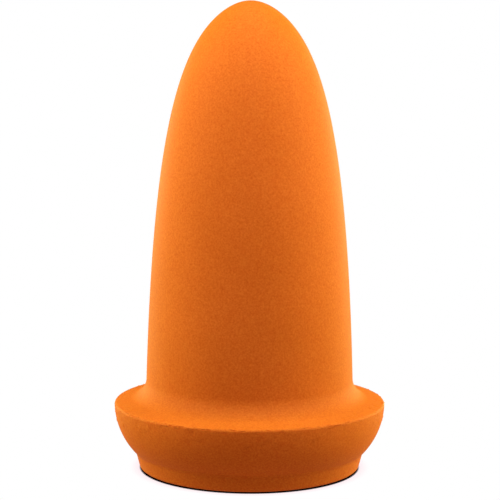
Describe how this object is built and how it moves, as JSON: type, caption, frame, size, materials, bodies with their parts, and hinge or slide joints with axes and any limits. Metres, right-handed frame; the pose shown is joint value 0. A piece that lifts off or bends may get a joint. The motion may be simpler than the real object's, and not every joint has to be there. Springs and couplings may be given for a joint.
{
  "type": "dust blower bulb",
  "caption": "Upright silicone squeeze bulb with a domed top, a wide collar over an undercut bowl and foot, and a coaxial air valve with a nozzle socket in its underside.",
  "frame": {"origin": "centre of the foot ring's face, on the resting surface", "axes": "+Z along the bulb's axis, from the foot up to the dome; the bulb is round, so +X and +Y only place the valve's ribs and ports"},
  "size_m": [0.0686, 0.0686, 0.118],
  "materials": {
    "bulb_silicone": "matte orange silicone with a fine moulded grain",
    "plug_plastic": "moulded charcoal plastic, satin",
    "disc_silicone": "natural silicone, satin",
    "stop_steel": "stamped stainless sheet",
    "socket_brass": "turned, bright"
  },
  "bodies": {
    "blower": {"bulb": "bulb_silicone", "valve_plug": "plug_plastic", "disc_stop": "stop_steel", "nozzle_socket": "socket_brass"},
    "disc": {"valve_disc": "disc_silicone"}
  },
  "joints": [
    {"name": "disc_lift", "type": "slide", "parent": "blower", "child": "disc", "axis": [0, 0, 1], "range_m": [0, 0.0012]}
  ]
}
